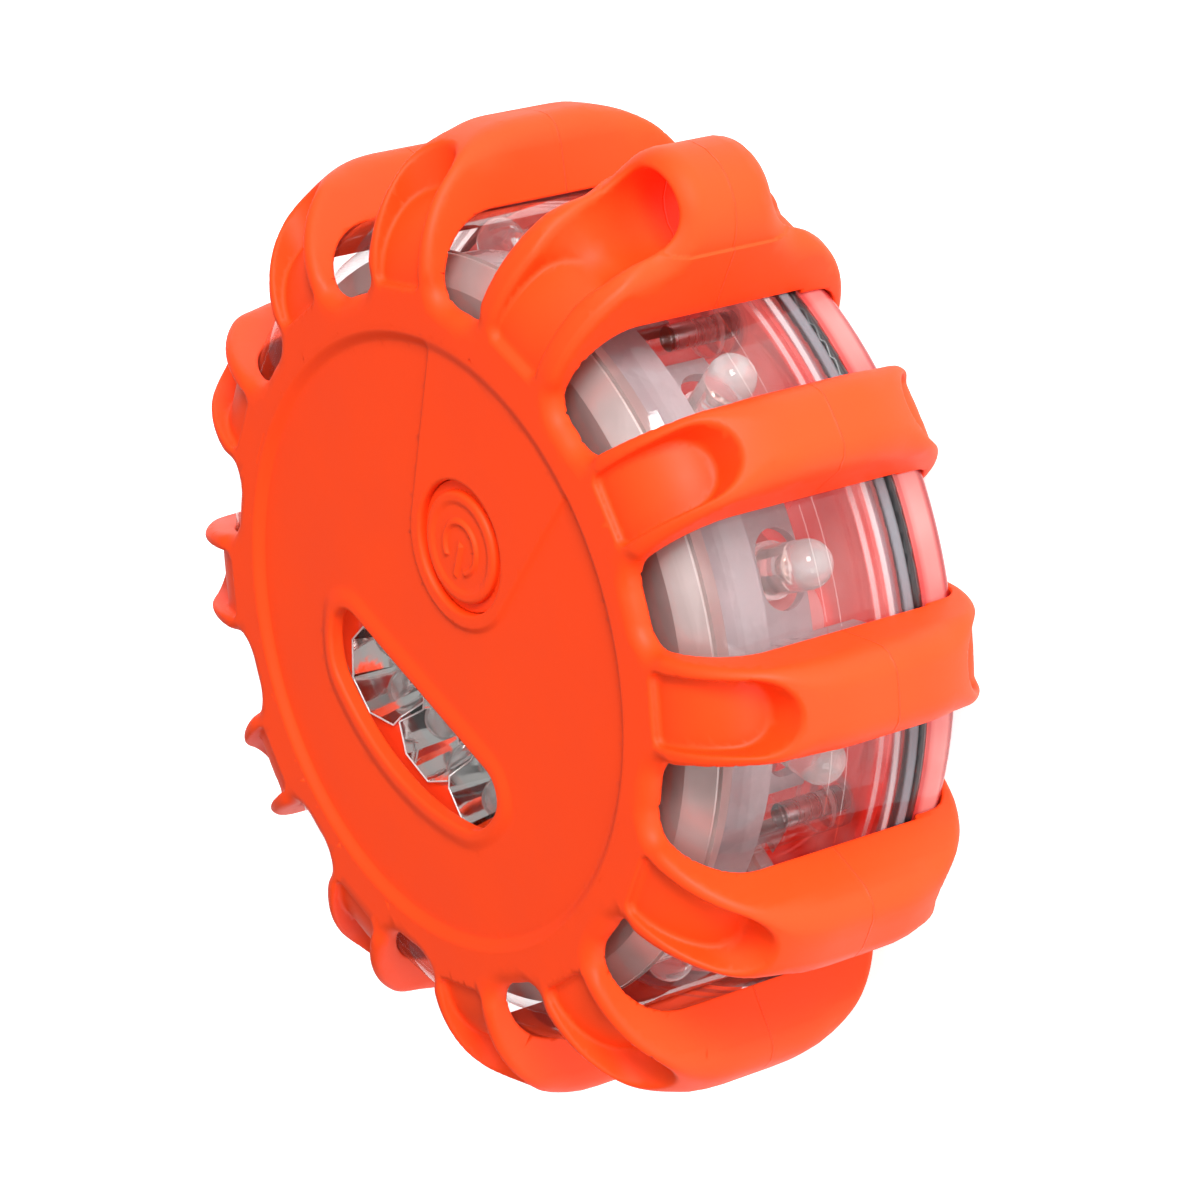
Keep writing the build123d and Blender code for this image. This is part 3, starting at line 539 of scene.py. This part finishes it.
def make_clear(name, tint, rough, body=None, body_share=0.0, deep=None, glow_share=0.0, seam=None,
               bands=()):
    """Thin clear or tinted plastic: mostly see-through, glossy at grazing angles, with fine wear."""
    material, tree, shader = new_material(name)
    tree.nodes.remove(shader)
    link = tree.links.new
    cloud = noise(tree, scuff_scale, 5.0)
    through = tree.nodes.new("ShaderNodeBsdfTransparent")
    link(tinted(tree, cloud, tint, 0.02), through.inputs["Color"])
    inside = through.outputs[0]
    if body:
        milk = tree.nodes.new("ShaderNodeBsdfDiffuse")
        glow = tree.nodes.new("ShaderNodeBsdfTranslucent")
        colour = tinted(tree, cloud, body, 0.05)
        if deep:
            # uneven depth of colour, like the walls and ribs that show through the real part
            place = noise(tree, deep_scale, 2.0)
            deepened = add_node(tree, "ShaderNodeMix", data_type="RGBA")
            link(spread(tree, place, *deep_range), deepened.inputs["Factor"])
            link(colour, deepened.inputs[6])
            deepened.inputs[7].default_value = deep + (1,)
            colour = deepened.outputs[2]
        link(colour, milk.inputs["Color"])
        link(colour, glow.inputs["Color"])
        half = add_node(tree, "ShaderNodeMixShader", Fac=translucency)
        link(milk.outputs[0], half.inputs[1])
        link(glow.outputs[0], half.inputs[2])
        blend = add_node(tree, "ShaderNodeMixShader", Fac=body_share)
        link(inside, blend.inputs[1])
        link(half.outputs[0], blend.inputs[2])
        inside = blend.outputs[0]
        if glow_share:
            # stands in for light that soaks through the plastic from outside
            soak = add_node(tree, "ShaderNodeEmission", Strength=glow_share)
            link(colour, soak.inputs["Color"])
            both = tree.nodes.new("ShaderNodeAddShader")
            link(inside, both.inputs[0])
            link(soak.outputs[0], both.inputs[1])
            inside = both.outputs[0]
    # rings of diffuse colour mixed over the surface; on the lens they are painted reflections, on the
    # housing the pale band is in part a painted highlight
    for z, half_width, ring_colour, strength in bands:
        ring = add_node(tree, "ShaderNodeBsdfDiffuse", Color=ring_colour + (1,))
        over = tree.nodes.new("ShaderNodeMixShader")
        line = calc(tree, "MINIMUM", calc(tree, "MULTIPLY", height_line(tree, z, half_width), 2.0), 1.0)
        link(calc(tree, "MULTIPLY", line, strength), over.inputs[0])
        link(inside, over.inputs[1])
        link(ring.outputs[0], over.inputs[2])
        inside = over.outputs[0]
    gloss = tree.nodes.new("ShaderNodeBsdfGlossy")
    link(spread(tree, cloud, rough * 0.6, rough * 1.6), gloss.inputs["Roughness"])
    facing = add_node(tree, "ShaderNodeLayerWeight", Blend=0.5).outputs["Facing"]
    grazing = calc(tree, "POWER", facing, gloss_power)
    share = calc(tree, "ADD", calc(tree, "MULTIPLY", grazing, gloss_edge), gloss_flat)
    if seam is not None:
        shine = calc(tree, "MULTIPLY", height_line(tree, seam, lens_seam_half), lens_seam_shine)
        share = calc(tree, "ADD", share, shine)
    mix = tree.nodes.new("ShaderNodeMixShader")
    link(share, mix.inputs[0])
    link(inside, mix.inputs[1])
    link(gloss.outputs[0], mix.inputs[2])
    link(mix.outputs[0], tree.nodes["Material Output"].inputs["Surface"])
    return material


def make_glass(name, tint):
    """Cast clear epoxy: bends what is behind it, but lets light straight through to what it covers."""
    material, tree, shader = new_material(name)
    tree.nodes.remove(shader)
    link = tree.links.new
    cloud = noise(tree, epoxy_scale, 3.0)
    glass = add_node(tree, "ShaderNodeBsdfGlass", IOR=1.5)
    link(spread(tree, cloud, 0.02, 0.06), glass.inputs["Roughness"])
    link(tinted(tree, cloud, tint, 0.01), glass.inputs["Color"])
    bump = add_node(tree, "ShaderNodeBump", Strength=epoxy_bump, Distance=epoxy_bump_height)
    link(cloud, bump.inputs["Height"])
    link(bump.outputs["Normal"], glass.inputs["Normal"])
    through = tree.nodes.new("ShaderNodeBsdfTransparent")
    haze = add_node(tree, "ShaderNodeBsdfDiffuse", Color=(1, 0.98, 0.97, 1))
    milky = add_node(tree, "ShaderNodeMixShader", Fac=epoxy_haze)
    link(glass.outputs[0], milky.inputs[1])
    link(haze.outputs[0], milky.inputs[2])
    path = tree.nodes.new("ShaderNodeLightPath")
    mix = tree.nodes.new("ShaderNodeMixShader")
    lighting = calc(tree, "MAXIMUM", path.outputs["Is Shadow Ray"], path.outputs["Is Diffuse Ray"])
    link(lighting, mix.inputs[0])
    link(milky.outputs[0], mix.inputs[1])
    link(through.outputs[0], mix.inputs[2])
    link(mix.outputs[0], tree.nodes["Material Output"].inputs["Surface"])
    return material


orange = (1.0, 0.058, 0.0035)
# a grain packed tight along one axis gives fine lines across it
tight_x = (14, 1, 1)
tight_y = (1, 14, 1)
tight_z = (1, 1, 14)
long_z = (1, 1, 0.25)
looks = {
    "cover_rubber": make_solid(
        "cover_rubber", orange, 0.55, change=0.05, pebble=0.00004, specular=0.25, seam=mid_z),
    "clear_lens": make_clear("clear_lens", (0.99, 0.99, 0.993), 0.06, seam=lens_seam_z, bands=lens_reflection_bands),
    "red_housing": make_clear(
        "red_housing", (1.0, 0.52, 0.50), 0.1, body=(0.97, 0.32, 0.30), body_share=0.5,
        deep=(0.80, 0.02, 0.015), glow_share=0.22, bands=housing_bands),
    "door_plastic": make_solid(
        "door_plastic", (0.62, 0.02, 0.012), 0.42, change=0.08, grain=1500.0, pebble=0.00006),
    "seal_rubber": make_solid("seal_rubber", (0.012, 0.012, 0.014), 0.32, change=0.3, grain=900.0),
    "foam": make_solid(
        "foam", (0.03, 0.03, 0.033), 0.95, change=0.3, grain=1400.0, pebble=0.0003, specular=0.2),
    "chromed_reflector": make_solid(
        "chromed_reflector", (0.97, 0.96, 0.95), 0.04, metal=1.0, change=0.04, grain=300.0, pebble=0.00002),
    "satin_reflector": make_solid(
        "satin_reflector", (0.56, 0.46, 0.44), 0.32, metal=0.4, change=0.25, grain=500.0, pebble=0.00006,
        stretch=long_z),
    "white_carrier": make_clear(
        "white_carrier", (0.98, 0.88, 0.88), 0.25, body=(0.64, 0.55, 0.57), body_share=0.8),
    "led_epoxy": make_glass("led_epoxy", (0.99, 0.99, 1.0)),
    # the warm pink tint of the lead metal is a painted reflection of the red and orange parts round it, for
    # its amber and pink highlights
    "tinned_lead": make_solid("tinned_lead", (0.88, 0.72, 0.66), 0.22, metal=1.0, change=0.12, grain=900.0),
    "board_green": make_solid(
        "board_green", (0.015, 0.11, 0.035), 0.3, change=0.2, grain=700.0, pebble=0.00005),
    "screw_steel": make_solid(
        "screw_steel", (0.60, 0.60, 0.62), 0.28, metal=1.0, change=0.12, grain=1200.0, pebble=0.00004,
        stretch=tight_z),
    "chip_black": make_solid("chip_black", (0.015, 0.015, 0.016), 0.45, change=0.25),
    "resistor_body": make_solid("resistor_body", (0.02, 0.02, 0.03), 0.25, change=0.25),
    "stem_plastic": make_solid("stem_plastic", (0.75, 0.75, 0.72), 0.4, change=0.05),
    "tray_plastic": make_solid(
        "tray_plastic", (0.84, 0.38, 0.37), 0.5, change=0.08, grain=1500.0, pebble=0.00005),
    "contact_metal": make_solid(
        "contact_metal", (0.72, 0.70, 0.64), 0.22, metal=1.0, change=0.12, grain=900.0,
        stretch=tight_z),
    "cell_sleeve": make_solid("cell_sleeve", (0.03, 0.06, 0.12), 0.28, metal=0.4, change=0.2, grain=500.0),
    "wire_red": make_solid("wire_red", (0.5, 0.012, 0.008), 0.38, change=0.1),
    "wire_black": make_solid("wire_black", (0.012, 0.012, 0.012), 0.38, change=0.3),
    "magnet_steel": make_solid(
        "magnet_steel", (0.62, 0.62, 0.64), 0.25, metal=1.0, change=0.1, grain=1000.0, pebble=0.00004,
        stretch=tight_x),
    "magnet_ferrite": make_solid(
        "magnet_ferrite", (0.045, 0.045, 0.05), 0.5, metal=0.3, change=0.3, grain=800.0, pebble=0.00008),
    "hook_wire": make_solid(
        "hook_wire", (0.72, 0.72, 0.73), 0.2, metal=1.0, change=0.1, grain=1100.0, stretch=tight_y),
}
for part in frame["record"]["subparts"]:
    data = nodes[part["node"]].data
    data.materials.clear()
    data.materials.append(looks[part["material_slot"]])

# the seat lies in shade under the cover; its glow is painted light, standing in for light let through the
# orange rubber
nodes["torch_seat"].data.materials[0] = make_solid(
    "seat_red", (0.95, 0.05, 0.01), 0.3, change=0.08, glow=0.4)
# painted highlight: the chrome rims of the torch cups are drawn as thin near-white wires in place of their
# glint
rim_highlight = make_solid("rim_highlight", (0.88, 0.88, 0.88), 0.25, metal=0.2, change=0.05)


def dress(piece, slot_name, *replaced, look=None):
    """Gives a new piece its look and its place in the part."""
    piece.data.materials.append(look or looks[slot_name])
    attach(piece, "button" if "power_button" in replaced else "flare_body")
    if replaced:
        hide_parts(*replaced)


# ---- rubber cover ---------------------------------------------------------------------------------
cover = mesh_from_field("cover", ring_field, *cover_box, cover_cell, 0.1, True, cover_field)
cover_face = mesh_from_field("cover_face", face_field, *face_box, face_cell, 0.01, True, cover_field)
dress(cover, "cover_rubber", "rubber_cover")
dress(cover_face, "cover_rubber", "rubber_cover")


# ---- power button -----------------------------------------------------------------------------------
def button_field(x, y, z):
    """Cap with a soft raised rim, a raised on/off mark and a lower skirt."""
    dy = y - button_y
    r = np.hypot(x, dy)
    dish = button_dish * (1 - fade(r, *button_dish_edge))
    arc = np.abs(r - mark_r) - mark_line
    arc = np.maximum(arc, -0.6 * dy - 0.8 * np.abs(x))
    leaning = np.abs(x + mark_lean * dy) - mark_line
    stroke = np.maximum(leaning, np.abs(dy - mark_bar_y) - mark_bar_half)
    mark = mark_height * (1 - fade(np.minimum(arc, stroke), *mark_edge))
    top = button_top - dish + mark * fade(mark_limit_r - r, 0, 0.3)
    cap = round_and(r - button_cap_r, z - top, button_cap_round)
    skirt = np.maximum(r - button_skirt_r, z - skirt_top)
    flange = np.maximum(r - button_flange_r, z - flange_top)
    body = round_or(np.minimum(cap, skirt), flange, button_flange_blend)
    return np.maximum(body, flange_bottom - z)


button_cap = mesh_from_field(
    "button_cap", button_field, (-button_reach, button_y - button_reach, flange_bottom - 0.4),
    (button_reach, button_y + button_reach, button_top + 0.6), button_cell, 0.02,
)
dress(button_cap, "cover_rubber", "power_button")


# ---- meshes drawn one by one: lathed shapes, bars and faceted cups ------------------------------------
def finish_mesh(name, shape, smooth_angle=None):
    data = bpy.data.meshes.new(name)
    bmesh.ops.recalc_face_normals(shape, faces=shape.faces)
    shape.to_mesh(data)
    shape.free()
    made = bpy.data.objects.new(name, data)
    collection.objects.link(made)
    if smooth_angle:
        for polygon in data.polygons:
            polygon.use_smooth = True
        data.set_sharp_from_angle(angle=math.radians(smooth_angle))
    return made


def lathe(shape, profile, matrix, steps=24):
    """Turns a profile of (radius, distance) points round the local X axis of matrix."""
    rings = []
    for radius, along in profile:
        if radius < 1e-6:
            rings.append([shape.verts.new(matrix @ Vector((along, 0, 0)) * MM)])
            continue
        ring = []
        for k in range(steps):
            a = 2 * math.pi * k / steps
            point = Vector((along, radius * math.cos(a), radius * math.sin(a)))
            ring.append(shape.verts.new(matrix @ point * MM))
        rings.append(ring)
    for one, two in zip(rings, rings[1:]):
        for k in range(steps):
            m = (k + 1) % steps
            if len(one) == 1:
                shape.faces.new((one[0], two[m], two[k]))
            elif len(two) == 1:
                shape.faces.new((one[k], one[m], two[0]))
            else:
                shape.faces.new((one[k], one[m], two[m], two[k]))


def bar(shape, low, high, matrix, taper=1.0):
    """A bar between two corners in the local space of matrix; its far X end is scaled by taper."""
    mid = [(low[a] + high[a]) / 2 for a in range(3)]
    corners = []
    for x in (low[0], high[0]):
        k = taper if x == high[0] else 1.0
        for sy, sz in ((0, 0), (1, 0), (1, 1), (0, 1)):
            y = mid[1] + ((high[1] if sy else low[1]) - mid[1]) * k
            z = mid[2] + ((high[2] if sz else low[2]) - mid[2]) * k
            corners.append(shape.verts.new(matrix @ Vector((x, y, z)) * MM))
    for face in ((0, 1, 2, 3), (7, 6, 5, 4), (0, 4, 5, 1), (1, 5, 6, 2), (2, 6, 7, 3), (3, 7, 4, 0)):
        shape.faces.new([corners[k] for k in face])


def led_frame(shape, matrix, length):
    """Cup post and wire post of a 5 mm LED, its base at the origin, pointing along local X."""
    cup_shares = (
        (0.0, 0.44), (0.35, 0.44), (0.62, 0.51), (0.8, 0.51), (0.8, 0.46), (0.55, 0.38), (0.0, 0.38),
    )
    lathe(shape, [(radius, length * share) for radius, share in cup_shares], matrix, 20)
    bar(shape, (0.3, -1.5, -0.25), (length * 0.40, -0.15, 0.25), matrix, 0.8)
    bar(shape, (0.3, 0.65, -0.25), (length * 0.50, 1.5, 0.25), matrix, 0.75)
    bar(shape, (length * 0.44, -0.2, -0.2), (length * 0.455, 0.2, 0.2), matrix)


skirt_shape = bmesh.new()
upright = Matrix((Vector((0, 0, 1)), Vector((1, 0, 0)), Vector((0, 1, 0)))).transposed().to_4x4()
lathe(skirt_shape, skirt_profile, upright, skirt_steps)
skirt = finish_mesh("reflector_skirt_ring", skirt_shape, 20)
dress(skirt, "satin_reflector", "reflector_skirt")

frames = bmesh.new()
for angle in window_angles:
    outward = Vector((math.cos(angle), math.sin(angle), 0))
    sideways = Vector((-math.sin(angle), math.cos(angle), 0))
    axes = Matrix((outward, sideways, Vector((0, 0, 1)))).transposed().to_4x4()
    led_frame(frames, Matrix.Translation(outward * led_base_r + Vector((0, 0, led_z))) @ axes, led_length)
for x, y in torch_places:
    led_frame(frames, Matrix.Translation(Vector((x, y, board_top))) @ upright, torch_led_length)
led_frames = finish_mesh("led_frames", frames, 35)
dress(led_frames, "tinned_lead")

# torch cups with flat sides; neighbours cut each other off half way between them
cups = bmesh.new()
for number, (x, y) in enumerate(torch_places):
    one = bmesh.new()
    rows = []
    for row in range(cup_rows + 1):
        rise = row / cup_rows
        radius = cup_hole_r + (cup_rim_r - cup_hole_r) * rise ** 0.62
        z = cup_floor_z + (reflector_top - cup_floor_z) * rise
        rows.append([
            one.verts.new((
                x + radius * math.cos(2 * math.pi * k / cup_sides + cup_turn * number),
                y + radius * math.sin(2 * math.pi * k / cup_sides + cup_turn * number), z,
            )) for k in range(cup_sides)
        ])
    for low_row, high_row in zip(rows, rows[1:]):
        for k in range(cup_sides):
            m = (k + 1) % cup_sides
            one.faces.new((low_row[k], low_row[m], high_row[m], high_row[k])).smooth = True
            one.edges.get((low_row[k], high_row[k])).smooth = False
    for side in (-1, 1):
        if abs(number - 1 + side) < 2:
            bmesh.ops.bisect_plane(
                one, geom=one.verts[:] + one.edges[:] + one.faces[:],
                plane_co=(x + side * torch_pitch / 2, y, 0), plane_no=(side, 0, 0), clear_outer=True,
            )
    part = bpy.data.meshes.new("cup")
    one.to_mesh(part)
    one.free()
    cups.from_mesh(part)
    bpy.data.meshes.remove(part)
bmesh.ops.scale(cups, vec=(MM, MM, MM), verts=cups.verts)
rim_lines = []
for edge in cups.edges:
    if edge.is_boundary and max(v.co.z for v in edge.verts) > (cup_floor_z + 0.5) * MM:
        rim_lines.append([v.co.copy() for v in edge.verts])
torch_cups = finish_mesh("torch_cups", cups)
rims = bmesh.new()
for start, end in rim_lines:
    run = end - start
    if run.length < 1e-6:
        continue
    side = run.cross(Vector((0, 0, 1)))
    side = side.normalized() if side.length > 1e-9 else Vector((1, 0, 0))
    axes = Matrix((run.normalized(), side, run.normalized().cross(side))).transposed().to_4x4()
    place = Matrix.Translation(start / MM) @ axes
    lathe(rims, ((rim_wire, 0), (rim_wire, run.length / MM)), place, 8)
torch_rims = finish_mesh("torch_rims", rims, 60)
dress(torch_cups, "chromed_reflector", "torch_reflector")
dress(torch_rims, "chromed_reflector", "torch_reflector", look=rim_highlight)

# ---- floor and light --------------------------------------------------------------------------------
bpy.ops.mesh.primitive_plane_add(size=6.0, location=(0, 0, -0.0002))
floor = bpy.context.object
floor.name = "floor"
material, tree, shader = new_material("floor_white")
shader.inputs["Base Color"].default_value = (0.9, 0.9, 0.9, 1)
shader.inputs["Roughness"].default_value = 0.9
shader.inputs["Emission Color"].default_value = (1, 1, 1, 1)
shader.inputs["Emission Strength"].default_value = 0.8
floor.data.materials.append(material)

sky_patch_scale = 2.2
sky_dark = (0.06, 0.05, 0.05, 1)
sky_white = (1, 1, 1, 1)
sky_steps = (0.37, 0.46)
sky_strength = 0.45
world = bpy.data.worlds.new("studio")
scene.world = world
world.use_nodes = True
sky = world.node_tree
back_shade = sky.nodes["Background"]
direction = sky.nodes.new("ShaderNodeTexCoord")
patches = add_node(sky, "ShaderNodeTexNoise", Scale=sky_patch_scale, Detail=1.0)
sky.links.new(direction.outputs["Generated"], patches.inputs["Vector"])
shades = add_node(sky, "ShaderNodeValToRGB")
for stop, position, colour in zip(shades.color_ramp.elements, sky_steps, (sky_dark, sky_white)):
    stop.position = position
    stop.color = colour
sky.links.new(patches.outputs["Fac"], shades.inputs["Fac"])
sky.links.new(shades.outputs["Color"], back_shade.inputs["Color"])
back_shade.inputs["Strength"].default_value = sky_strength


light_aim = (0, 0, 0.02)


def soft_light(name, place, size, power):
    """A square or oblong light in metres and watts, aimed at the middle of the part."""
    data = bpy.data.lights.new(name, "AREA")
    data.shape = "RECTANGLE"
    data.size = size[0]
    data.size_y = size[1]
    data.energy = power
    lamp = bpy.data.objects.new(name, data)
    collection.objects.link(lamp)
    lamp.location = place
    lamp.rotation_mode = "QUATERNION"
    lamp.rotation_quaternion = (Vector(light_aim) - Vector(place)).to_track_quat("-Z", "Y")


soft_light("key", place=(0.25, 0.95, 0.45), size=(0.5, 0.35), power=13.5)
soft_light("front", place=(0.1, 0.45, 1.1), size=(0.8, 0.8), power=2.0)
soft_light("side", place=(1.0, 0.25, 0.3), size=(0.5, 0.5), power=3.0)

scene.view_settings.view_transform = "Standard"
